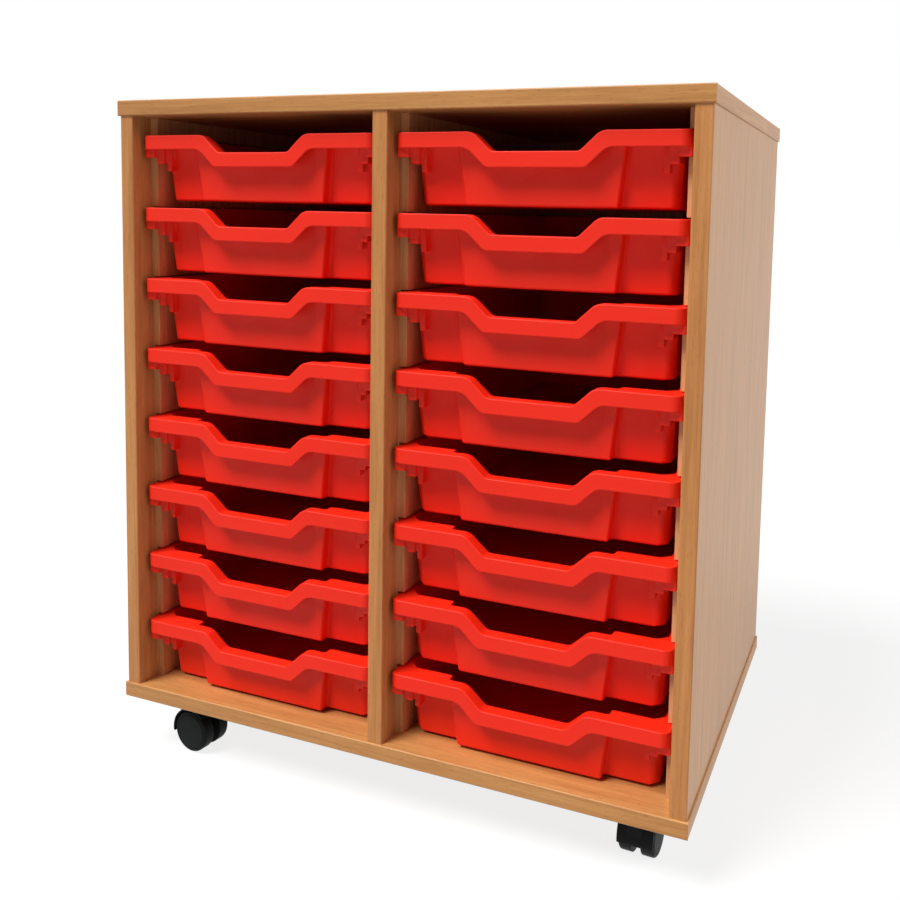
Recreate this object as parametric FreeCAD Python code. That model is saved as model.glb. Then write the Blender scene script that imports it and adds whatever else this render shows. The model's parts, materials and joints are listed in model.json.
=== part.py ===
import FreeCAD, Part
import math
import os

from FreeCAD import Vector

# Tray storage unit on castors: two bays of pull-out trays in a board carcass.
# Millimetres. X runs left to right seen from the front, Y front to back, Z up.
# The origin is on the floor under the middle of the unit.

# Trays: one moulding, repeated
tray_width = 312.0            # over the rim
tray_length = 427.0           # over the rim, front to back
tray_height = 75.0
trays_per_bay = 8
tray_wall = 2.0
wall_draft = 5.0              # degrees, every tub wall but the sides of the bulge
bulge_draft = 8.0             # degrees, the sides of the bulge
rim_flange_side = 10.0        # rim edge to tub wall, at the sides and the back
rim_corner = 6.0              # cut across each corner of the rim
tub_corner = 9.0              # cut across each upright corner of the tub
front_band_height = 16.4      # the finger band across the front
side_lip_height = 13.0        # the turned-down lip that runs in the grooves
band_return = 12.0            # how far the band's full height turns down the side
front_wall_setback = 23.0     # band face to the tub wall beside the bulge
bulge_setback = 12.0          # band face to the bulge of the tub
bulge_half_width = 92.5
dip_depth = 20.0              # the hand dip in the middle of the band
dip_flat_half = 46.5
dip_shoulder_half = 68.0
gusset_inset = 29.0           # rim edge to the inner edge of the gusset
# steps of the stepped gusset under each corner: in from the rim edge, behind the band face, drop
gusset_steps = ((0.0, rim_corner, 25.5), (13.0, 11.0, 32.0), (23.0, 17.0, 40.5))

# How the trays sit in the carcass
tray_gap = 9.0                # between one tray and the next above it
bottom_tray_gap = 3.2         # base panel to the lowest tray
top_tray_gap = 21.8           # highest tray to the top panel
tray_side_gap = 4.0           # rim to the carcass at each side
tray_setback = 10.0           # front edge of the sides to the band
tray_back_gap = 0.3           # pushed-in tray to the back panel

# Carcass boards
panel_thickness = 18.0
panel_overhang = 2.0          # top and base past the sides, all round
edge_band = 2.0               # thickness of the edge banding
edge_arris = 1.2              # bevel on the banding's long edges
back_thickness = 8.0
back_recess = 14.7            # back panel to the rear edge of the sides
back_groove = 6.0             # depth of the groove that holds the back panel
groove_play = 0.25
tongue_thickness = 4.0        # loose tongues join the uprights to top and base
tongue_height = 16.0
tongue_setback = 30.0         # front edge of the sides, or back panel, to a tongue
tongue_play = 0.1

# Grooved runner boards
runner_setback = 30.0         # front edge of the sides to the runner
tub_clearance = 4.0           # runner to the tub's wall
groove_web = 2.0              # board left behind a groove
lip_play = 0.3                # lip to the floor of its groove
rim_headroom = 1.7            # rim to the top of its groove

# Castors
castor_inset_x = 61.0         # swivel axis to the edge of the base at the side
castor_inset_y = 41.0         # swivel axis to the front or rear edge of the sides
castor_trail = 21.0           # swivel axis to wheel axle
plate_size = 42.0
plate_thickness = 2.5
pintle_radius = 3.5           # the pin under the plate that the hood turns on
pintle_length = 10.0
wheel_radius = 25.0
wheel_width = 14.5
wheel_gap = 1.0               # wheel to the hood's web
hub_floor = 3.0               # wall between the axle's end and the wheel's face
axle_radius = 2.0
running_play = 0.05
seat_play = 0.3               # hood to plate
web_thickness = 8.0
hood_play = 1.0               # tread to hood
hood_wall = 2.5
hood_front_angle = 190.0      # where the hood ends on the swivel side
hood_rear_angle = 50.0        # where it ends over the trailing side
well_flats = 12               # flats round the inside of each wheel well
hub_radius = 7.0
hub_foot_angles = (-120.0, -60.0)  # corners of the web's foot, about the axle
neck_height = 8.7             # top of the cover to the top of the neck
neck_reach = 7.0              # swivel axis to the front and the back of the neck
neck_width = 16.0

# Sizes that follow from the ones above
tray_pitch = tray_height + tray_gap
bay_width = tray_width + 2 * tray_side_gap
carcass_width = 2 * bay_width + 3 * panel_thickness
back_front = tray_setback + tray_length + tray_back_gap
tongue_length = back_front - 2 * tongue_setback
runner_thickness = tray_side_gap + rim_flange_side - tub_clearance
groove_depth = runner_thickness - groove_web
groove_height = lip_play + side_lip_height + rim_headroom
side_depth = back_front + back_thickness + back_recess
trays_height = (trays_per_bay - 1) * tray_pitch + tray_height
inner_height = bottom_tray_gap + trays_height + top_tray_gap
front_y = -side_depth / 2
hood_radius = wheel_radius + hood_play + hood_wall
castor_height = wheel_radius + hood_radius + neck_height + seat_play + plate_thickness
base_top = castor_height + panel_thickness
inner_top = base_top + inner_height
board_width = carcass_width + 2 * panel_overhang
board_depth = side_depth + 2 * panel_overhang
bay_centres = (-(bay_width + panel_thickness) / 2, (bay_width + panel_thickness) / 2)
draft_slope = math.tan(math.radians(wall_draft))
bulge_slope = math.tan(math.radians(bulge_draft))
dip_slope = dip_shoulder_half - dip_flat_half
gusset_back = front_wall_setback + tub_corner + 2 * tray_wall
castor_width = web_thickness + 2 * (wheel_gap + wheel_width)
# name, side, end, and the way the wheels trail from the swivel axis, in degrees
castors = (
    ("front_left", -1, -1, -6.0),
    ("front_right", 1, -1, 88.0),
    ("rear_left", -1, 1, 290.0),
    ("rear_right", 1, 1, 200.0),
)


def block(low, high):
    """A box from its lowest and highest corners."""
    size = [b - a for a, b in zip(low, high)]
    return Part.makeBox(size[0], size[1], size[2], Vector(*low))


def upright_profile(points, front, back):
    """A profile in the XZ plane, extruded from front to back."""
    ring = [Vector(x, front, z) for x, z in points]
    face = Part.Face(Part.makePolygon(ring + ring[:1]))
    return face.extrude(Vector(0, back - front, 0))


def stacked(levels):
    """A solid through like outlines, one above the other, with flat walls between."""
    rings = [[Vector(x, y, z) for x, y in outline] for z, outline in levels]
    faces = [Part.Face(Part.makePolygon(ring + ring[:1])) for ring in (rings[0], rings[-1])]
    for lower, upper in zip(rings, rings[1:]):
        for i, corner in enumerate(lower):
            j = (i + 1) % len(lower)
            wall = (corner, lower[j], upper[j], upper[i], corner)
            faces.append(Part.Face(Part.makePolygon(wall)))
    solid = Part.makeSolid(Part.makeShell(faces))
    if solid.Volume < 0:
        solid.reverse()
    return solid


def mirrored_outline(half):
    """An outline from its right half, given from front to back."""
    return half + [(-x, y) for x, y in reversed(half)]


# Tray

def tub_outline(depth, wall=0):
    """The tub seen from above at a depth under the rim, drawn in by a wall."""
    inset = depth * draft_slope + wall
    side = tray_width / 2 - rim_flange_side - inset
    back = tray_length - rim_flange_side - inset
    front = front_wall_setback + inset
    bulge_side = bulge_half_width - depth * bulge_slope - wall
    return mirrored_outline([
        (bulge_side, bulge_setback + inset),
        (bulge_side, front),
        (side - tub_corner, front),
        (side, front + tub_corner),
        (side, back - tub_corner),
        (side - tub_corner, back),
    ])


def tub_body():
    """The outside of the tub, drafted."""
    return stacked([(0, tub_outline(tray_height)), (tray_height, tub_outline(0))])


def tub_cavity():
    """The inside of the tub, carried up past the rim."""
    above = tray_wall
    return stacked([
        (tray_wall, tub_outline(tray_height - tray_wall, tray_wall)),
        (tray_height + above, tub_outline(-above, tray_wall)),
    ])


def rim_outline(inset):
    """The rim seen from above, drawn in by an inset."""
    side = tray_width / 2 - inset
    return mirrored_outline([
        (side - rim_corner, inset),
        (side, inset + rim_corner),
        (side, tray_length - inset - rim_corner),
        (side - rim_corner, tray_length - inset),
    ])


def rim_body():
    """The rim: a flat flange with a turned-down lip, deeper across the front."""
    low = tray_height - front_band_height
    rim = stacked([(low, rim_outline(0)), (tray_height, rim_outline(0))])
    under = stacked([(low - tray_wall, rim_outline(tray_wall)),
                     (tray_height - tray_wall, rim_outline(tray_wall))])
    lip_low = tray_height - side_lip_height
    behind_band = block((-tray_width, band_return, low - tray_wall),
                        (tray_width, tray_length + tray_wall, lip_low))
    return rim.cut([under, behind_band])


def dip_path(drop):
    """The hand dip's edge, left to right, lowered by a drop square to itself."""
    slope_length = math.hypot(dip_slope, dip_depth)
    shift = drop * (slope_length - dip_slope) / dip_depth
    high = tray_height - drop
    low = high - dip_depth
    right = [(dip_flat_half + shift, low), (dip_shoulder_half + shift, high)]
    return [(-x, z) for x, z in reversed(right)] + right


def dip_cut():
    """What the hand dip takes out of the rim and the bulge."""
    above = tray_height + tray_wall
    path = dip_path(0)
    outline = [(path[0][0], above)] + path + [(path[-1][0], above)]
    behind_wall = bulge_setback + 2 * tray_wall + dip_depth * draft_slope
    return upright_profile(outline, -tray_wall, behind_wall)


def dip_band():
    """The finger band and its ledge where they follow the hand dip."""
    edge = dip_path(0)
    band = upright_profile(edge + dip_path(front_band_height)[::-1], 0, tray_wall)
    ledge = upright_profile(edge + dip_path(tray_wall)[::-1], 0, bulge_setback + tray_wall)
    return band.fuse(ledge)


def corner_gusset():
    """The stepped gusset under the right front corner; its outer step ends with the band."""
    top = tray_height - tray_wall
    rights = [tray_width / 2 - inset for inset, front, drop in gusset_steps]
    lefts = rights[1:] + [tray_width / 2 - gusset_inset]
    back = band_return
    steps = []
    for left, right, (inset, front, drop) in zip(lefts, rights, gusset_steps):
        steps.append(block((left, front, tray_height - drop), (right, back, top)))
        back = gusset_back
    return steps[0].fuse(steps[1:])


def tray_moulding():
    """One tray, its band at y = 0 and its underside at z = 0."""
    right_gusset = corner_gusset()
    left_gusset = right_gusset.mirror(Vector(0, 0, 0), Vector(1, 0, 0))
    shell = rim_body().fuse([tub_body(), right_gusset, left_gusset])
    shell = shell.cut(dip_cut())
    return shell.fuse(dip_band()).cut(tub_cavity()).removeSplitter()


def tray_low(row):
    """Height of the underside of a tray, rows counted from the top."""
    return base_top + bottom_tray_gap + (trays_per_bay - row) * tray_pitch


def build_trays(parts):
    """Every tray, named by its bay and its row from the top."""
    moulding = tray_moulding()
    for side, centre in zip(("left", "right"), bay_centres):
        for row in range(1, trays_per_bay + 1):
            tray = moulding.copy()
            tray.translate(Vector(centre, front_y + tray_setback, tray_low(row)))
            parts[f"tray_{side}_{row}"] = tray


# Carcass

def upright_centres():
    """X of the middle of the left side, the divider and the right side."""
    outer = (carcass_width - panel_thickness) / 2
    return (-outer, 0.0, outer)


def tongue_slots(play):
    """The loose tongues, or with play the slots cut for them."""
    half_thick = tongue_thickness / 2 + play
    half_high = tongue_height / 2 - tongue_play + play
    front = front_y + tongue_setback
    slots = []
    for x in upright_centres():
        for joint in (base_top, inner_top):
            slots.append(block((x - half_thick, front - play, joint - half_high),
                               (x + half_thick, front + tongue_length + play, joint + half_high)))
    return slots


def back_panel_block(play):
    """The back panel, or with play the groove cut for it."""
    half = carcass_width / 2 - panel_thickness + back_groove - groove_play + play
    reach = back_groove - groove_play + play
    front = front_y + back_front
    return block((-half, front - play / 2, base_top - reach),
                 (half, front + back_thickness + play / 2, inner_top + reach))


def horizontal_board(low):
    """Core of the top or the base, ready to take its edge banding."""
    half_x = board_width / 2 - edge_band
    half_y = board_depth / 2 - edge_band
    board = block((-half_x, -half_y, low), (half_x, half_y, low + panel_thickness))
    return board.cut(tongue_slots(tongue_play) + [back_panel_block(groove_play)])


def banding_strip(low, high, outward):
    """A strip of banding, its two long outer edges bevelled."""
    strip = block(low, high)
    axis = 0 if outward.x else 1
    face = (high if outward[axis] > 0 else low)[axis]
    run = 2 if high[2] - low[2] > panel_thickness else 1 - axis

    def is_outer(edge):
        ends = [vertex.Point for vertex in edge.Vertexes]
        on_face = all(abs(end[axis] - face) < edge_arris / 2 for end in ends)
        return on_face and abs(ends[0][run] - ends[1][run]) > edge_arris

    return strip.makeChamfer(edge_arris, [edge for edge in strip.Edges if is_outer(edge)])


def board_banding(low):
    """Banding on the four edges of the top or the base."""
    high = low + panel_thickness
    half_x = board_width / 2
    half_y = board_depth / 2
    core_x = half_x - edge_band
    core_y = half_y - edge_band
    return Part.makeCompound([
        banding_strip((-half_x, -half_y, low), (half_x, -core_y, high), Vector(0, -1, 0)),
        banding_strip((-half_x, core_y, low), (half_x, half_y, high), Vector(0, 1, 0)),
        banding_strip((-half_x, -core_y, low), (-core_x, core_y, high), Vector(-1, 0, 0)),
        banding_strip((core_x, -core_y, low), (half_x, core_y, high), Vector(1, 0, 0)),
    ])


def upright_board(centre, back):
    """Core of a side or the divider, behind its front banding."""
    half = panel_thickness / 2
    board = block((centre - half, front_y + edge_band, base_top), (centre + half, back, inner_top))
    return board.cut(tongue_slots(tongue_play) + [back_panel_block(groove_play)])


def upright_banding(centre):
    """Banding on the front edge of a side or the divider."""
    half = panel_thickness / 2
    return banding_strip((centre - half, front_y, base_top),
                         (centre + half, front_y + edge_band, inner_top), Vector(0, -1, 0))


def runner_board(wall_x, inward):
    """A runner board against a carcass wall, with a groove for each tray's lip."""
    front = front_y + runner_setback
    back = front_y + back_front
    face_x = wall_x + inward * runner_thickness
    groove_x = face_x - inward * groove_depth
    past = face_x + inward * runner_thickness
    grooves = []
    for row in range(1, trays_per_bay + 1):
        floor = tray_low(row) + tray_height - side_lip_height - lip_play
        grooves.append(block((min(groove_x, past), front - groove_web, floor),
                             (max(groove_x, past), back + groove_web, floor + groove_height)))
    board = block((min(wall_x, face_x), front, base_top), (max(wall_x, face_x), back, inner_top))
    return board.cut(grooves)


def build_carcass(parts):
    """Boards, banding, loose tongues and runner boards."""
    left, middle, right = upright_centres()
    rear = front_y + side_depth
    parts["base_panel"] = horizontal_board(castor_height)
    parts["top_panel"] = horizontal_board(inner_top)
    parts["base_edge_band"] = board_banding(castor_height)
    parts["top_edge_band"] = board_banding(inner_top)
    parts["left_side_panel"] = upright_board(left, rear)
    parts["right_side_panel"] = upright_board(right, rear)
    parts["centre_divider"] = upright_board(middle, front_y + back_front)
    parts["left_side_edge_band"] = upright_banding(left)
    parts["right_side_edge_band"] = upright_banding(right)
    parts["divider_edge_band"] = upright_banding(middle)
    parts["back_panel"] = back_panel_block(0)
    parts["loose_tongues"] = Part.makeCompound(tongue_slots(0))
    half_bay = bay_width / 2
    for side, centre in zip(("left", "right"), bay_centres):
        parts[f"{side}_bay_runner_left"] = runner_board(centre - half_bay, 1)
        parts[f"{side}_bay_runner_right"] = runner_board(centre + half_bay, -1)


# Castors

def castor_spots():
    """Name, swivel axis and trailing direction of each castor."""
    half_x = board_width / 2 - castor_inset_x
    half_y = side_depth / 2 - castor_inset_y
    return [(name, Vector(sx * half_x, sy * half_y, 0), turn) for name, sx, sy, turn in castors]


def castor_plate():
    """The fixing plate under the base, with the pintle that the hood turns on."""
    low = castor_height - plate_thickness
    half = plate_size / 2
    plate = block((-half, -half, low), (half, half, castor_height))
    pintle = Part.makeCylinder(pintle_radius, pintle_length, Vector(0, 0, low), Vector(0, 0, -1))
    return plate.fuse(pintle)


def across(radius, width):
    """A cylinder along the axle, centred on the castor's middle plane."""
    start = Vector(castor_trail, -width / 2, wheel_radius)
    return Part.makeCylinder(radius, width, start, Vector(0, 1, 0))


def on_hood(radius, angle):
    """A point of the hood's side view, by radius and angle about the axle."""
    turn = math.radians(angle)
    return Vector(castor_trail + radius * math.cos(turn), 0, wheel_radius + radius * math.sin(turn))


def side_view_solid(edges, near, far):
    """A closed side view, extruded along the axle from one distance to another."""
    face = Part.Face(Part.Wire(edges))
    face.translate(Vector(0, near, 0))
    return face.extrude(Vector(0, far - near, 0))


def polyline(points):
    """Straight edges through a list of points."""
    return [Part.makeLine(a, b) for a, b in zip(points, points[1:])]


def hood_drum():
    """The hood before its wheel wells are cut: round above, with a foot at the axle."""
    ends = (hood_rear_angle, hood_front_angle)
    middle = sum(ends) / 2
    crown = Part.Arc(*[on_hood(hood_radius, angle) for angle in (ends[0], middle, ends[1])])
    foot = [on_hood(hub_radius, angle) for angle in hub_foot_angles]
    below = [on_hood(hood_radius, ends[1])] + foot + [on_hood(hood_radius, ends[0])]
    return side_view_solid([crown.toShape()] + polyline(below), -castor_width / 2, castor_width / 2)


def hood_neck(top):
    """The block on the swivel axis that carries the hood on its pintle."""
    return block((-neck_reach, -neck_width / 2, wheel_radius), (neck_reach, neck_width / 2, top))


def wheel_well(outward):
    """The faceted space for one wheel, open at the side that outward points to."""
    step = 360 / well_flats
    corner = (wheel_radius + hood_play) / math.cos(math.radians(step / 2))
    ring = [on_hood(corner, i * step) for i in range(well_flats)]
    past_side = castor_width / 2 + hood_wall
    return side_view_solid(polyline(ring + ring[:1]), outward * web_thickness / 2, outward * past_side)


def castor_hood():
    """Cover, web and neck: all that swivels above the wheels."""
    seat = castor_height - plate_thickness
    socket = Part.makeCylinder(pintle_radius + running_play, pintle_length + seat_play,
                               Vector(0, 0, seat), Vector(0, 0, -1))
    body = hood_drum().fuse(hood_neck(seat - seat_play))
    hollows = [wheel_well(-1), wheel_well(1), across(axle_radius, castor_width), socket]
    return body.cut(hollows).removeSplitter()


def castor_wheel(outward):
    """One wheel of a pair, on the side of the web that outward points to."""
    bore = axle_radius + running_play
    bore_end = wheel_width - hub_floor
    profile = [(0, bore_end), (bore, bore_end), (bore, 0), (wheel_radius, 0),
               (wheel_radius, wheel_width), (0, wheel_width)]
    inner_face = web_thickness / 2 + wheel_gap
    ring = [Vector(castor_trail + r, outward * (inner_face + w), wheel_radius) for r, w in profile]
    face = Part.Face(Part.makePolygon(ring + ring[:1]))
    return face.revolve(Vector(castor_trail, 0, wheel_radius), Vector(0, 1, 0), 360)


def castor_axle():
    """The pin through the web that both wheels turn on."""
    return across(axle_radius, castor_width - 2 * hub_floor - 2 * running_play)


def build_castors(parts):
    """Four castors, each turned its own way, and their plates."""
    plates = []
    for name, spot, turn in castor_spots():
        plate = castor_plate()
        plate.translate(spot)
        plates.append(plate)
        pieces = {
            "hood": castor_hood(),
            "axle": castor_axle(),
            "wheel_a": castor_wheel(-1),
            "wheel_b": castor_wheel(1),
        }
        for piece, shape in pieces.items():
            shape.rotate(Vector(0, 0, 0), Vector(0, 0, 1), turn)
            shape.translate(spot)
            parts[f"castor_{name}_{piece}"] = shape
    parts["castor_plates"] = Part.makeCompound(plates)


def main():
    os.makedirs("parts", exist_ok=True)
    parts = {}
    build_carcass(parts)
    build_trays(parts)
    build_castors(parts)
    for name, shape in parts.items():
        shape.exportStep(f"parts/{name}.step")
    print(len(parts), "nodes")


main()
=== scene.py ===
import json
import math

import bmesh
import bpy
from mathutils import Matrix, Vector


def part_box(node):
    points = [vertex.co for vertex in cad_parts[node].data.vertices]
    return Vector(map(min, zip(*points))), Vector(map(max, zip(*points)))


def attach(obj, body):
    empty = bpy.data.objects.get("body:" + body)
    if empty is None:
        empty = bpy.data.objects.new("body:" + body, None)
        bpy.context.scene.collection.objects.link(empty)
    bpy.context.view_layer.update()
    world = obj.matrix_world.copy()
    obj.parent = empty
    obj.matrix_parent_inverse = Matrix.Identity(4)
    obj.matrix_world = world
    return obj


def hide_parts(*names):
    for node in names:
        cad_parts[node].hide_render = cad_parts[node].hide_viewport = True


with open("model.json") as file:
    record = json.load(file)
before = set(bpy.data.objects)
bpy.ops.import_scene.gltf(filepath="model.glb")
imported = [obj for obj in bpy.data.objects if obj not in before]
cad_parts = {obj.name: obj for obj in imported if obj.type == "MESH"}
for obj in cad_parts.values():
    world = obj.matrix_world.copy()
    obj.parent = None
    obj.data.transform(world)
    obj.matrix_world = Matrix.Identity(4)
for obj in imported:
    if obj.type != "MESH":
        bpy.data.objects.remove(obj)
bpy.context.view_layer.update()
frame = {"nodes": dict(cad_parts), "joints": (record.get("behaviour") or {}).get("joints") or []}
mm = 0.001
tiny = 0.01 * mm        # closer than this counts as the same place
print("frame loaded,", len(frame["nodes"]), "nodes")


# helpers that every piece uses

def deselectAll():
    if bpy.context.object and bpy.context.object.mode != "OBJECT":
        bpy.ops.object.mode_set(mode="OBJECT")
    bpy.ops.object.select_all(action="DESELECT")


def makeActive(piece):
    deselectAll()
    piece.select_set(True)
    bpy.context.view_layer.objects.active = piece


def editMode(piece, picks="EDGE"):
    makeActive(piece)
    bpy.ops.object.mode_set(mode="EDIT")
    bpy.ops.mesh.select_mode(type=picks)
    bpy.ops.mesh.select_all(action="DESELECT")


def pickEdges(piece, wanted):
    editMode(piece, "EDGE")
    mesh = bmesh.from_edit_mesh(piece.data)
    for edge in mesh.edges:
        if wanted(edge):
            edge.select_set(True)
    count = sum(edge.select for edge in mesh.edges)
    bmesh.update_edit_mesh(piece.data)
    return count


def pickFaces(piece, wanted):
    editMode(piece, "FACE")
    mesh = bmesh.from_edit_mesh(piece.data)
    for face in mesh.faces:
        if wanted(face):
            face.select_set(True)
    bmesh.update_edit_mesh(piece.data)


def roundEdges(piece, wanted, width, segments, clamp=False):
    count = pickEdges(piece, wanted)
    if count:
        bpy.ops.mesh.bevel(offset=width, segments=segments, affect="EDGES",
                           clamp_overlap=clamp)
    deselectAll()
    return count


def slant(edge, axis):
    # 1 when the edge runs along the axis, 0 when it is square to it
    line = (edge.verts[1].co - edge.verts[0].co).normalized()
    return abs(line[axis])


def runsAlong(edge, axis):
    return slant(edge, axis) > 0.9999


def middleOf(edge):
    return (edge.verts[0].co + edge.verts[1].co) / 2


def isSharp(edge, degrees=20):
    return len(edge.link_faces) == 2 and edge.calc_face_angle() > math.radians(degrees)


def addBlock(name, low, high):
    low, high = Vector(low), Vector(high)
    deselectAll()
    bpy.ops.mesh.primitive_cube_add(size=1, location=(low + high) / 2)
    piece = bpy.context.object
    piece.name = name
    piece.scale = high - low
    bpy.ops.object.transform_apply(location=True, rotation=False, scale=True)
    return piece


def joinPieces(pieces, name):
    deselectAll()
    for piece in pieces:
        piece.select_set(True)
    bpy.context.view_layer.objects.active = pieces[0]
    bpy.ops.object.join()
    joined = bpy.context.object
    joined.name = name
    return joined


def mergedCopy(node, name):
    # the facets of a flat face become one face again
    piece = bpy.data.objects.new(name, frame["nodes"][node].data.copy())
    bpy.context.scene.collection.objects.link(piece)
    editMode(piece)
    bpy.ops.mesh.select_all(action="SELECT")
    bpy.ops.mesh.remove_doubles(threshold=0.002 * mm)
    bpy.ops.mesh.dissolve_limited(angle_limit=math.radians(0.5))
    deselectAll()
    return piece


def copyOf(piece, name, move):
    other = bpy.data.objects.new(name, piece.data.copy())
    bpy.context.scene.collection.objects.link(other)
    other.data.transform(move)
    return other


def softenEdges(piece, width, degrees, segments=2):
    makeActive(piece)
    soft = piece.modifiers.new("softEdges", "BEVEL")
    soft.width = width
    soft.segments = segments
    soft.limit_method = "ANGLE"
    soft.angle_limit = math.radians(degrees)
    soft.use_clamp_overlap = False
    bpy.ops.object.modifier_apply(modifier=soft.name)


def smoothShade(piece, degrees=35):
    makeActive(piece)
    bpy.ops.object.shade_smooth_by_angle(angle=math.radians(degrees))
    weighted = piece.modifiers.new("flatFaces", "WEIGHTED_NORMAL")
    weighted.keep_sharp = True
    weighted.weight = 90
    bpy.ops.object.modifier_apply(modifier=weighted.name)


def dress(piece, material):
    piece.data.materials.clear()
    piece.data.materials.append(material)
    return piece


camera = {
    "place": (0.5154, -1.1242, 0.6658),
    "turnLeft": 21.802,
    "tiltDown": 5.094,
    "roll": 1.240,
    "lens": 38.828,
    "film": 36,
    "shift": (-0.0739, -0.1650),
    "clip": (0.05, 60),
}


def makeCamera(values):
    data = bpy.data.cameras.new("camera")
    data.lens = values["lens"]
    data.sensor_width = values["film"]
    data.shift_x, data.shift_y = values["shift"]
    data.clip_start, data.clip_end = values["clip"]
    eye = bpy.data.objects.new("camera", data)
    bpy.context.scene.collection.objects.link(eye)
    turn = Matrix.Rotation(math.radians(values["turnLeft"]), 4, "Z")
    tilt = Matrix.Rotation(math.radians(90 - values["tiltDown"]), 4, "X")
    roll = Matrix.Rotation(math.radians(values["roll"]), 4, "Z")
    eye.matrix_world = Matrix.Translation(values["place"]) @ turn @ tilt @ roll
    bpy.context.scene.camera = eye


makeCamera(camera)
print("camera set")


def newMaterial(name):
    material = bpy.data.materials.new(name)
    material.use_nodes = True
    tree = material.node_tree
    shader = tree.nodes["Principled BSDF"]
    return material, tree, shader


def addNode(tree, kind, **sockets):
    node = tree.nodes.new(kind)
    for socket, value in sockets.items():
        node.inputs[socket].default_value = value
    return node


def objectCoordinates(tree, scale):
    place = tree.nodes.new("ShaderNodeTexCoord")
    mapping = addNode(tree, "ShaderNodeMapping", Scale=scale)
    tree.links.new(place.outputs["Object"], mapping.inputs["Vector"])
    return mapping.outputs["Vector"]


def noise(tree, vector, scale, detail, rough, warp=0.0):
    node = addNode(tree, "ShaderNodeTexNoise", Scale=scale, Detail=detail,
                   Roughness=rough, Distortion=warp)
    tree.links.new(vector, node.inputs["Vector"])
    return node.outputs["Fac"]


def ramp(tree, value, stops):
    node = tree.nodes.new("ShaderNodeValToRGB")
    bands = node.color_ramp.elements
    while len(bands) < len(stops):
        bands.new(0.5)
    for band, (place, colour) in zip(bands, stops):
        band.position = place
        band.color = (*colour, 1)
    tree.links.new(value, node.inputs["Fac"])
    return node.outputs["Color"]


def greyRamp(tree, value, stops):
    return ramp(tree, value, [(place, (grey, grey, grey)) for place, grey in stops])


def mixColours(tree, share, first, second, blend="MIX"):
    node = tree.nodes.new("ShaderNodeMix")
    node.data_type = "RGBA"
    node.blend_type = blend
    for name, value in (("Factor", share), ("A", first), ("B", second)):
        socket = node.inputs[name]
        if isinstance(value, bpy.types.NodeSocket):
            tree.links.new(value, socket)
        elif isinstance(value, float):
            socket.default_value = value
        else:
            socket.default_value = (*value, 1)
    return node.outputs["Result"]


def seenDirectly(tree):
    # 1 for camera, glossy and transmission rays
    path = tree.nodes.new("ShaderNodeLightPath")
    seen = path.outputs["Is Camera Ray"]
    for ray in ("Is Glossy Ray", "Is Transmission Ray"):
        either = tree.nodes.new("ShaderNodeMath")
        either.operation = "MAXIMUM"
        tree.links.new(seen, either.inputs[0])
        tree.links.new(path.outputs[ray], either.inputs[1])
        seen = either.outputs["Value"]
    return seen


def bump(tree, shader, height, strength, distance):
    node = addNode(tree, "ShaderNodeBump", Strength=strength, Distance=distance)
    tree.links.new(height, node.inputs["Height"])
    tree.links.new(node.outputs["Normal"], shader.inputs["Normal"])


beech = {
    "pale": (0.660, 0.328, 0.113),
    "mid": (0.560, 0.258, 0.080),
    "dark": (0.430, 0.180, 0.050),
    "fleck": (0.290, 0.106, 0.026),
    "streaks": 150,         # across the grain, per metre
    "fibres": 620,
    "flecks": 900,
    "patches": 11,
    "stretch": 0.035,       # how far streaks and fibres are drawn out, 1 is not at all
    "fleckStretch": 0.11,
    "patchStretch": 0.3,
    "fibreShare": 0.34,
    "fleckShare": 0.42,
    "patchDark": 0.93,
    "roughness": 0.38,
    "relief": 0.08 * mm,
    "reliefShare": 0.10,
}


def grainCoordinates(tree, grain, stretch):
    # grain is the axis that the wood runs along
    return objectCoordinates(tree, [stretch if axis == grain else 1 for axis in "XYZ"])


def beechColours(tree, grain, tint):
    tones = {}
    for tone in ("pale", "mid", "dark", "fleck"):
        tones[tone] = tuple(c * t for c, t in zip(beech[tone], tint))
    drawn = grainCoordinates(tree, grain, beech["stretch"])
    streaks = noise(tree, drawn, beech["streaks"], 3, 0.55, 0.25)
    fibres = noise(tree, drawn, beech["fibres"], 3, 0.6)
    wood = ramp(tree, streaks, [(0.28, tones["dark"]), (0.47, tones["mid"]), (0.70, tones["pale"])])
    lines = ramp(tree, fibres, [(0.34, tones["dark"]), (0.64, tones["pale"])])
    wood = mixColours(tree, beech["fibreShare"], wood, lines)
    broad = grainCoordinates(tree, grain, beech["patchStretch"])
    patches = noise(tree, broad, beech["patches"], 2, 0.5)
    shade = greyRamp(tree, patches, [(0.3, beech["patchDark"]), (0.7, 1.0)])
    wood = mixColours(tree, 1.0, wood, shade, "MULTIPLY")
    short = grainCoordinates(tree, grain, beech["fleckStretch"])
    flecks = noise(tree, short, beech["flecks"], 1, 0.4)
    share = greyRamp(tree, flecks, [(0.64, 0.0), (0.72, beech["fleckShare"])])
    return mixColours(tree, share, wood, tones["fleck"]), fibres


def beechMaterial(name, grain, tint=(1, 1, 1), gloss=0.5):
    material, tree, shader = newMaterial(name)
    colour, fibres = beechColours(tree, grain, tint)
    tree.links.new(colour, shader.inputs["Base Color"])
    shader.inputs["Roughness"].default_value = beech["roughness"]
    shader.inputs["Specular IOR Level"].default_value = gloss
    bump(tree, shader, fibres, beech["reliefShare"], beech["relief"])
    return material


chipboard = {
    "chips": 480,           # per metre
    "reach": 0.05 * mm,     # how far in from the rear face it shows
    "tones": ((0.24, 0.14, 0.07), (0.45, 0.30, 0.17), (0.62, 0.46, 0.29)),
}


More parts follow.
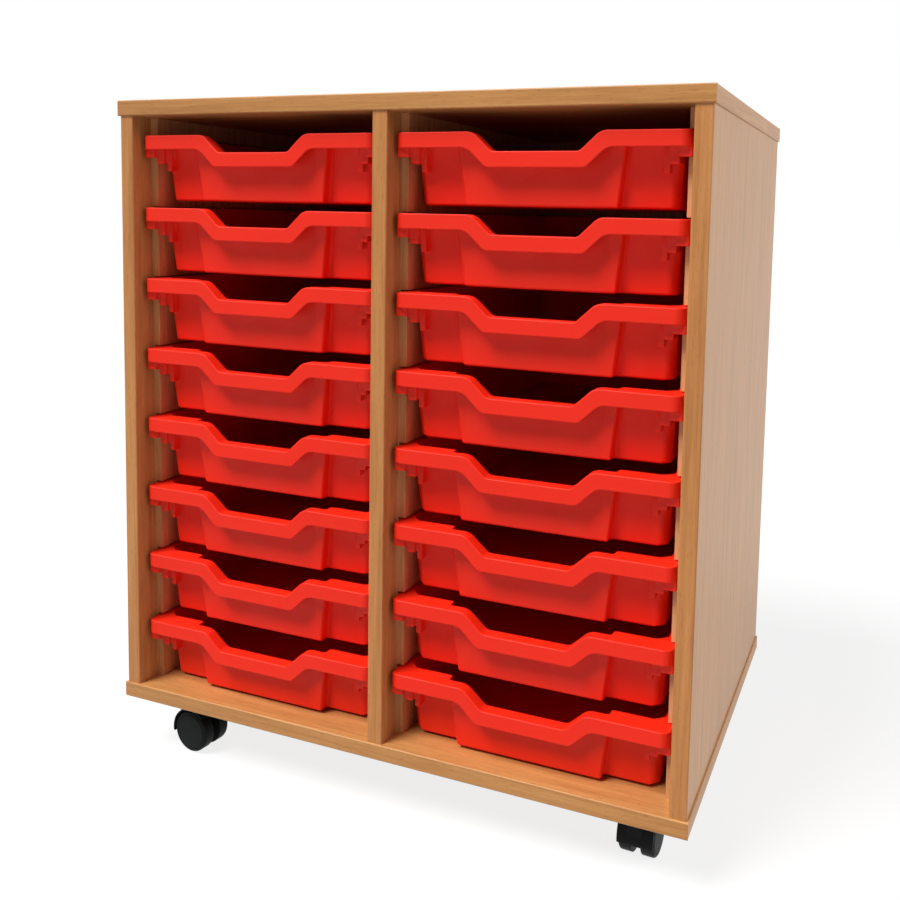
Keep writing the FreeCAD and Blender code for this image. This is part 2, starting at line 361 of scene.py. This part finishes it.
def chipboardColours(tree):
    vector = objectCoordinates(tree, (1, 1, 0.55))
    chips = addNode(tree, "ShaderNodeTexVoronoi", Scale=chipboard["chips"])
    tree.links.new(vector, chips.inputs["Vector"])
    return ramp(tree, chips.outputs["Color"], list(zip((0.1, 0.5, 0.9), chipboard["tones"])))


def rawBackedMaterial(name, rear):
    # beech faces with the bare chipboard of the core on the rear edge
    material, tree, shader = newMaterial(name)
    colour, fibres = beechColours(tree, "Z", (1, 1, 1))
    place = tree.nodes.new("ShaderNodeTexCoord")
    parts = tree.nodes.new("ShaderNodeSeparateXYZ")
    tree.links.new(place.outputs["Object"], parts.inputs["Vector"])
    isRear = tree.nodes.new("ShaderNodeMath")
    isRear.operation = "GREATER_THAN"
    isRear.inputs[1].default_value = rear - chipboard["reach"]
    tree.links.new(parts.outputs["Y"], isRear.inputs[0])
    both = mixColours(tree, isRear.outputs["Value"], colour, chipboardColours(tree))
    tree.links.new(both, shader.inputs["Base Color"])
    shader.inputs["Roughness"].default_value = beech["roughness"]
    bump(tree, shader, fibres, beech["reliefShare"], beech["relief"])
    return material


plastics = {
    "red polypropylene": {
        "colour": (0.94, 0.020, 0.0030),
        "darker": (0.91, 0.019, 0.0028),
        "roughness": 0.55,
        "gloss": 0.36,
        "grain": 1500,          # per metre
        "grainDepth": 0.025 * mm,
    },
    "black nylon": {
        "colour": (0.005, 0.005, 0.0052),
        "darker": (0.004, 0.004, 0.0042),
        "roughness": 0.44,
        "gloss": 0.10,
        "grain": 1800,
        "grainDepth": 0.03 * mm,
    },
    "wheel plastic": {
        "colour": (0.0085, 0.0105, 0.0095),
        "darker": (0.007, 0.0085, 0.008),
        "roughness": 0.48,
        "gloss": 0.08,
        "grain": 1800,
        "grainDepth": 0.03 * mm,
    },
}


def plasticMaterial(name):
    values = plastics[name]
    material, tree, shader = newMaterial(name)
    plain = objectCoordinates(tree, (1, 1, 1))
    cloudy = noise(tree, plain, 9, 2, 0.5)
    tone = ramp(tree, cloudy, [(0.35, values["darker"]), (0.65, values["colour"])])
    tree.links.new(tone, shader.inputs["Base Color"])
    grainy = noise(tree, plain, values["grain"], 2, 0.6)
    bump(tree, shader, grainy, 0.12, values["grainDepth"])
    wear = noise(tree, plain, 34, 3, 0.6)
    middle = values["roughness"]
    uneven = greyRamp(tree, wear, [(0.3, middle * 0.9), (0.7, middle * 1.1)])
    tree.links.new(uneven, shader.inputs["Roughness"])
    shader.inputs["Specular IOR Level"].default_value = values["gloss"]
    return material


metals = {
    "blackened steel": {"colour": (0.10, 0.10, 0.11), "roughness": 0.4},
    "zinc plated steel": {"colour": (0.62, 0.62, 0.60), "roughness": 0.3},
}


def steelMaterial(name):
    colour, roughness = metals[name]["colour"], metals[name]["roughness"]
    material, tree, shader = newMaterial(name)
    brushed = noise(tree, objectCoordinates(tree, (1, 1, 0.05)), 700, 2, 0.5)
    rough = greyRamp(tree, brushed, [(0.3, roughness * 0.7), (0.7, roughness * 1.3)])
    tree.links.new(rough, shader.inputs["Roughness"])
    tone = tuple(c * 0.85 for c in colour)
    tree.links.new(ramp(tree, brushed, [(0.3, tone), (0.7, colour)]), shader.inputs["Base Color"])
    shader.inputs["Metallic"].default_value = 1.0
    return material


bandTint = (0.99, 0.98, 0.95)
uprightTint = (1.0, 0.89, 0.83)
runnerTint = (1.25, 1.35, 1.8)
plyTint = (1.25, 1.6, 2.6)
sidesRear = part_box("left_side_panel")[1].y
beechUp = beechMaterial("beech grain upright", "Z")
beechUpRaw = rawBackedMaterial("beech grain upright, raw behind", sidesRear)
beechAcross = beechMaterial("beech grain across", "X")
bandUp = beechMaterial("beech banding upright", "Z", uprightTint, 0.35)
bandAcross = beechMaterial("beech banding across", "X", bandTint, 0.35)
bandBack = beechMaterial("beech banding to the back", "Y", bandTint, 0.35)
runnerWood = beechMaterial("runner board", "Z", runnerTint, 0.35)
birchPly = beechMaterial("birch ply", "Y", plyTint, 0.2)
redPlastic = plasticMaterial("red polypropylene")
blackNylon = plasticMaterial("black nylon")
wheelPlastic = plasticMaterial("wheel plastic")
blackSteel = steelMaterial("blackened steel")
zincSteel = steelMaterial("zinc plated steel")
print("materials made")


# the carcass: the boards stay, and their banding is remade with rounded edges

def dressCadBoards():
    finish = {
        "base_panel": beechAcross,
        "top_panel": beechAcross,
        "back_panel": beechUp,
        "left_side_panel": beechUpRaw,
        "right_side_panel": beechUpRaw,
        "centre_divider": beechUp,
        "loose_tongues": birchPly,
    }
    for node, material in finish.items():
        dress(frame["nodes"][node], material)
    for node in frame["nodes"]:
        if "_runner_" in node:
            dress(frame["nodes"][node], runnerWood)


banding = {
    "thickness": 2.0 * mm,
    "rounding": 1.6 * mm,
    "segments": 5,
}


def bandingStrip(low, high, outward):
    # outward is the axis and side that the strip faces
    axis, side = outward
    strip = addBlock("strip", low, high)
    face = (high if side > 0 else low)[axis]
    longest = max(range(3), key=lambda i: high[i] - low[i])

    def isOuter(edge):
        return abs(middleOf(edge)[axis] - face) < tiny and runsAlong(edge, longest)

    roundEdges(strip, isOuter, banding["rounding"], banding["segments"])
    return strip


def boardBanding(node, name):
    low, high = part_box(node)
    thick = banding["thickness"]
    inLow, inHigh = low.y + thick, high.y - thick
    front = bandingStrip(low, (high.x, inLow, high.z), (1, -1))
    back = bandingStrip((low.x, inHigh, low.z), high, (1, 1))
    left = bandingStrip((low.x, inLow, low.z), (low.x + thick, inHigh, high.z), (0, -1))
    right = bandingStrip((high.x - thick, inLow, low.z), (high.x, inHigh, high.z), (0, 1))
    for strip in (front, back):
        dress(strip, bandAcross)
    for strip in (left, right):
        dress(strip, bandBack)
    piece = joinPieces([front, back, left, right], name)
    smoothShade(piece)
    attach(piece, "cabinet")
    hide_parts(node)


def uprightBanding(node, name):
    low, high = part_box(node)
    strip = bandingStrip(low, high, (1, -1))
    strip.name = name
    dress(strip, bandUp)
    smoothShade(strip)
    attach(strip, "cabinet")
    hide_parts(node)


dressCadBoards()
boardBanding("base_edge_band", "base_banding_rounded")
boardBanding("top_edge_band", "top_banding_rounded")
uprightBanding("left_side_edge_band", "left_side_banding_rounded")
uprightBanding("right_side_edge_band", "right_side_banding_rounded")
uprightBanding("divider_edge_band", "divider_banding_rounded")
print("carcass dressed")


# the trays: one moulding with its outward edges rounded, copied into each place

tray = {
    "rimCorner": 4.1 * mm,
    "shoulder": 6.0 * mm,
    "dip": 3.0 * mm,
    "bulge": 2.6 * mm,
    "foot": 2.6 * mm,
    "face": 1.25 * mm,      # the edges of the finger band and the rim's outer edge
    "edge": 0.7 * mm,       # every other edge that points outwards
    "flatTurn": 50,         # degrees, the chamfered corners turn less than this
}

# where the edges of each kind lie
trayPlaces = {
    "corner": 9 * mm,           # in from the sides and the rear of the rim
    "frontCorner": 3 * mm,      # behind the band's face, as the gusset is past the next edge
    "cornerFoot": 60 * mm,      # above the tray's foot, and so the next two
    "bandFoot": 55 * mm,
    "dipFoot": 36 * mm,
    "dipFlat": 57 * mm,         # from the middle of the front, and so the next two
    "dipEnd": 80 * mm,
    "bulgeSide": (80 * mm, 96 * mm),
    "bulgeReach": 40 * mm,      # behind the band's face, and so the chamfer
    "chamfer": 6 * mm,
    "chamferInner": 9.8 * mm,   # between the chamfer's outer and inner faces
}


def trayEdgeTests(low, high):
    # what picks the edges of each kind, in a tray between low and high
    places = trayPlaces
    centre = (low.x + high.x) / 2
    halfWidth = (high.x - low.x) / 2
    length = high.y - low.y
    height = high.z - low.z

    def across(edge):
        return abs(middleOf(edge).x - centre)

    def back(edge):
        return middleOf(edge).y - low.y

    def up(edge):
        return middleOf(edge).z - low.z

    def rises(edge):
        return slant(edge, 2) > 0.95 and isSharp(edge)

    def isRimCorner(edge):
        atEnd = back(edge) < places["frontCorner"] or back(edge) > length - places["corner"]
        atSide = across(edge) > halfWidth - places["corner"]
        return rises(edge) and atEnd and atSide and up(edge) > places["cornerFoot"]

    def isBulgeCorner(edge):
        inner, outer = places["bulgeSide"]
        return rises(edge) and inner < across(edge) < outer and back(edge) < places["bulgeReach"]

    def isDipEdge(edge):
        inDip = across(edge) < places["dipEnd"] and up(edge) > places["dipFoot"]
        return runsAlong(edge, 1) and isSharp(edge) and inDip

    def isShoulder(edge):
        return isDipEdge(edge) and across(edge) > places["dipFlat"]

    def isDipFoot(edge):
        return isDipEdge(edge) and across(edge) <= places["dipFlat"]

    def isFoot(edge):
        return up(edge) < tiny and isSharp(edge, 40)

    def isOuterEdge(edge):
        return isSharp(edge, tray["flatTurn"]) and edge.is_convex

    def isFaceEdge(edge):
        onFace = back(edge) < tiny
        onOuter = across(edge) - back(edge) > halfWidth - places["chamferInner"]
        onCorner = back(edge) < places["chamfer"] and onOuter
        onRim = up(edge) > height - tiny and (onCorner or across(edge) > halfWidth - tiny)
        onBand = onCorner and up(edge) > places["bandFoot"] and not rises(edge)
        return isOuterEdge(edge) and (onFace or onRim or onBand)

    return {
        "rimCorner": (isRimCorner, 6),
        "bulge": (isBulgeCorner, 4),
        "shoulder": (isShoulder, 5),
        "dip": (isDipFoot, 4),
        "foot": (isFoot, 4),
        "face": (isFaceEdge, 3),
        "edge": (isOuterEdge, 2),
    }


def firstTray():
    piece = mergedCopy("tray_left_1", "tray_left_1_moulding")
    counts = {}
    for kind, (wanted, segments) in trayEdgeTests(*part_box("tray_left_1")).items():
        counts[kind] = roundEdges(piece, wanted, tray[kind], segments)
    print("tray edges rounded:", counts)
    smoothShade(piece, tray["flatTurn"])
    dress(piece, redPlastic)
    return piece


def makeTrays():
    first = firstTray()
    start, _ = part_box("tray_left_1")
    for side in ("left", "right"):
        for row in range(1, 9):
            node = f"tray_{side}_{row}"
            low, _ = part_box(node)
            if node == "tray_left_1":
                piece = first
            else:
                piece = copyOf(first, f"{node}_moulding", Matrix.Translation(low - start))
            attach(piece, node)
            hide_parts(node)


makeTrays()
print("trays moulded")


# the castors: hood, wheels and screws are each modelled once

castor = {
    "corners": ("front_left", "front_right", "rear_left", "rear_right"),
    "hoodEdge": 0.6 * mm,
    "wheelWidth": 14.5 * mm,
    "webHalf": 4.0 * mm,
    "webGap": 1.0 * mm,
    "treadEdge": 3.2 * mm,
    "innerEdge": 0.8 * mm,
    "boreRadius": 2.05 * mm,
    "boreDepth": 11.5 * mm,
    # inset and sink, in mm, from the rim of the face inwards
    "faceRings": ((3.5, 0.0), (0.35, 0.6), (0.45, 0.0), (0.35, -0.6), (12.0, -0.25)),
    "plateHalf": 21 * mm,
    "plateThickness": 2.5 * mm,
}


def jointNamed(name):
    return next(joint for joint in frame["joints"] if joint["name"] == name)


def turnOf(corner):
    x, y, _ = jointNamed(f"wheel_{corner}_a_spin")["axis"]
    return math.atan2(-x, y)


def swivelPose(corner):
    x, y, _ = jointNamed(f"castor_{corner}_swivel")["pos_m"]
    return Matrix.Translation((x, y, 0)) @ Matrix.Rotation(turnOf(corner), 4, "Z")


def makeHoods():
    first = mergedCopy("castor_front_left_hood", "castor_front_left_cover")
    softenEdges(first, castor["hoodEdge"], 30)
    smoothShade(first)
    dress(first, blackNylon)
    home = swivelPose("front_left").inverted()
    for corner in castor["corners"]:
        piece = first
        if corner != "front_left":
            piece = copyOf(first, f"castor_{corner}_cover", swivelPose(corner) @ home)
        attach(piece, f"castor_{corner}")
        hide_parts(f"castor_{corner}_hood")


def wheelBlank():
    # lies along Y with its outer face towards -Y
    low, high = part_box("castor_front_left_wheel_a")
    radius = (high.z - low.z) / 2
    half = castor["wheelWidth"] / 2
    deselectAll()
    bpy.ops.mesh.primitive_cylinder_add(vertices=96, radius=radius, depth=2 * half,
                                        rotation=(math.pi / 2, 0, 0))
    wheel = bpy.context.object
    bpy.ops.object.transform_apply(location=True, rotation=True, scale=True)

    pickFaces(wheel, lambda face: face.normal.y < -0.9)
    for inset, sink in castor["faceRings"]:
        bpy.ops.mesh.inset(thickness=inset * mm, depth=-sink * mm)
    pickFaces(wheel, lambda face: face.normal.y > 0.9)
    bpy.ops.mesh.inset(thickness=radius - castor["boreRadius"], depth=0)
    bpy.ops.mesh.extrude_region_move(TRANSFORM_OT_translate={"value": (0, -castor["boreDepth"], 0)})

    def onRim(side):
        def isThere(end):
            outside = math.hypot(end.x, end.z) > radius - tiny
            return outside and abs(end.y - side * half) < tiny
        return lambda edge: all(isThere(vert.co) for vert in edge.verts)

    roundEdges(wheel, onRim(-1), castor["treadEdge"], 6, clamp=True)
    roundEdges(wheel, onRim(1), castor["innerEdge"], 3, clamp=True)
    smoothShade(wheel, 40)
    dress(wheel, wheelPlastic)
    return wheel


def makeWheels():
    blank = wheelBlank()
    away = castor["webHalf"] + castor["webGap"] + castor["wheelWidth"] / 2
    for corner in castor["corners"]:
        for letter, turned in (("a", 0), ("b", math.pi)):
            spot = Matrix.Translation(jointNamed(f"wheel_{corner}_{letter}_spin")["pos_m"])
            turn = Matrix.Rotation(turnOf(corner) + turned, 4, "Z")
            outwards = Matrix.Translation((0, -away, 0))
            piece = copyOf(blank, f"castor_{corner}_roller_{letter}", spot @ turn @ outwards)
            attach(piece, f"wheel_{corner}_{letter}")
            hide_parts(f"castor_{corner}_wheel_{letter}")
    bpy.data.objects.remove(blank)


screw = {
    "headRadius": 3.6 * mm,
    "headHeight": 1.9 * mm,
    "rounding": 1.3 * mm,
    "recess": (3.6 * mm, 0.8 * mm, 1.0 * mm),   # length, width and depth of the cross
    "inFromEdge": 6.0 * mm,
}


def firstScrew(spot):
    # a pan head under the plate, its cross recess cut with two blocks
    x, y, z = spot
    height = screw["headHeight"]
    deselectAll()
    bpy.ops.mesh.primitive_cylinder_add(vertices=32, radius=screw["headRadius"], depth=height,
                                        location=(x, y, z - height / 2))
    head = bpy.context.object
    head.name = "screw"
    bpy.ops.object.transform_apply(location=True, rotation=True, scale=True)
    low = z - height
    roundEdges(head, lambda edge: abs(middleOf(edge).z - low) < tiny,
               screw["rounding"], 4, clamp=True)
    length, width, depth = (size / 2 for size in screw["recess"])
    for reachX, reachY in ((length, width), (width, length)):
        slot = addBlock("slot", (x - reachX, y - reachY, low - depth),
                        (x + reachX, y + reachY, low + depth))
        makeActive(head)
        cut = head.modifiers.new("recess", "BOOLEAN")
        cut.operation = "DIFFERENCE"
        cut.solver = "EXACT"
        cut.object = slot
        bpy.ops.object.modifier_apply(modifier=cut.name)
        bpy.data.objects.remove(slot)
    smoothShade(head, 30)
    return dress(head, zincSteel)


def makeScrews():
    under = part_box("base_edge_band")[0].z - castor["plateThickness"]
    reach = castor["plateHalf"] - screw["inFromEdge"]
    spots = []
    for corner in castor["corners"]:
        x, y, _ = jointNamed(f"castor_{corner}_swivel")["pos_m"]
        for sideX, sideY in ((-1, -1), (-1, 1), (1, -1), (1, 1)):
            spots.append((x + sideX * reach, y + sideY * reach, under))
    home = Vector(spots[0])
    heads = [firstScrew(spots[0])]
    for spot in spots[1:]:
        heads.append(copyOf(heads[0], "screw", Matrix.Translation(Vector(spot) - home)))
    piece = joinPieces(heads, "castor_screws")
    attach(piece, "cabinet")


def dressCastorNodes():
    dress(frame["nodes"]["castor_plates"], blackSteel)
    for corner in castor["corners"]:
        dress(frame["nodes"][f"castor_{corner}_axle"], zincSteel)


dressCastorNodes()
makeHoods()
makeWheels()
makeScrews()
print("castors made")


# floor, backdrop and light

floor = {
    "size": 60,          # metres across
    "drop": 0.5 * mm,    # below the treads
    "grey": 0.42,
    "mottle": 0.01,
    "share": 0.45,       # of what the camera sees that is the lit floor
    "lift": 0.82,        # added white, so that the lit floor meets the backdrop
}


def makeFloor():
    deselectAll()
    bpy.ops.mesh.primitive_plane_add(size=floor["size"], location=(0, 0, -floor["drop"]))
    ground = bpy.context.object
    ground.name = "floor"
    material, tree, shader = newMaterial("pale floor")
    fine = noise(tree, objectCoordinates(tree, (1, 1, 1)), 60, 2, 0.5)
    tone = greyRamp(tree, fine, [(0.3, floor["grey"] - floor["mottle"]),
                                 (0.7, floor["grey"] + floor["mottle"])])
    tree.links.new(tone, shader.inputs["Base Color"])
    shader.inputs["Roughness"].default_value = 0.9
    shader.inputs["Specular IOR Level"].default_value = 0.1
    white = addNode(tree, "ShaderNodeEmission", Color=(1, 1, 1, 1),
                    Strength=floor["lift"] / (1 - floor["share"]))
    seen = tree.nodes.new("ShaderNodeMixShader")
    seen.inputs["Fac"].default_value = 1 - floor["share"]
    tree.links.new(shader.outputs["BSDF"], seen.inputs[1])
    tree.links.new(white.outputs["Emission"], seen.inputs[2])
    pick = tree.nodes.new("ShaderNodeMixShader")
    tree.links.new(seenDirectly(tree), pick.inputs["Fac"])
    tree.links.new(shader.outputs["BSDF"], pick.inputs[1])
    tree.links.new(seen.outputs["Shader"], pick.inputs[2])
    tree.links.new(pick.outputs["Shader"], tree.nodes["Material Output"].inputs["Surface"])
    ground.data.materials.append(material)


light = {
    "world": 0.06,
    "away": 3,           # metres from the origin to each lamp
    # azimuth from the front towards the right, height above the floor, strength, softness
    "lamps": {
        "key": (-36, 55, 3.8, 26),
        "side": (100, 28, 1.5, 60),
    },
}


def makeWorld():
    world = bpy.data.worlds.new("studio")
    bpy.context.scene.world = world
    world.use_nodes = True
    tree = world.node_tree
    soft = tree.nodes["Background"]
    soft.inputs["Color"].default_value = (1, 1, 1, 1)
    soft.inputs["Strength"].default_value = light["world"]
    white = addNode(tree, "ShaderNodeBackground", Color=(1, 1, 1, 1), Strength=1.0)
    pick = tree.nodes.new("ShaderNodeMixShader")
    tree.links.new(seenDirectly(tree), pick.inputs["Fac"])
    tree.links.new(soft.outputs["Background"], pick.inputs[1])
    tree.links.new(white.outputs["Background"], pick.inputs[2])
    tree.links.new(pick.outputs["Shader"], tree.nodes["World Output"].inputs["Surface"])


def makeLamp(name):
    azimuth, height, strength, softness = light["lamps"][name]
    data = bpy.data.lights.new(name, "SUN")
    data.energy = strength
    data.angle = math.radians(softness)
    lamp = bpy.data.objects.new(name, data)
    bpy.context.scene.collection.objects.link(lamp)
    a, e = math.radians(azimuth), math.radians(height)
    back = Vector((math.sin(a) * math.cos(e), -math.cos(a) * math.cos(e), math.sin(e)))
    lamp.location = back * light["away"]
    lamp.rotation_euler = (-back).to_track_quat("-Z", "Y").to_euler()


makeFloor()
makeWorld()
for name in light["lamps"]:
    makeLamp(name)
bpy.context.scene.view_settings.view_transform = "Standard"
print("light set")
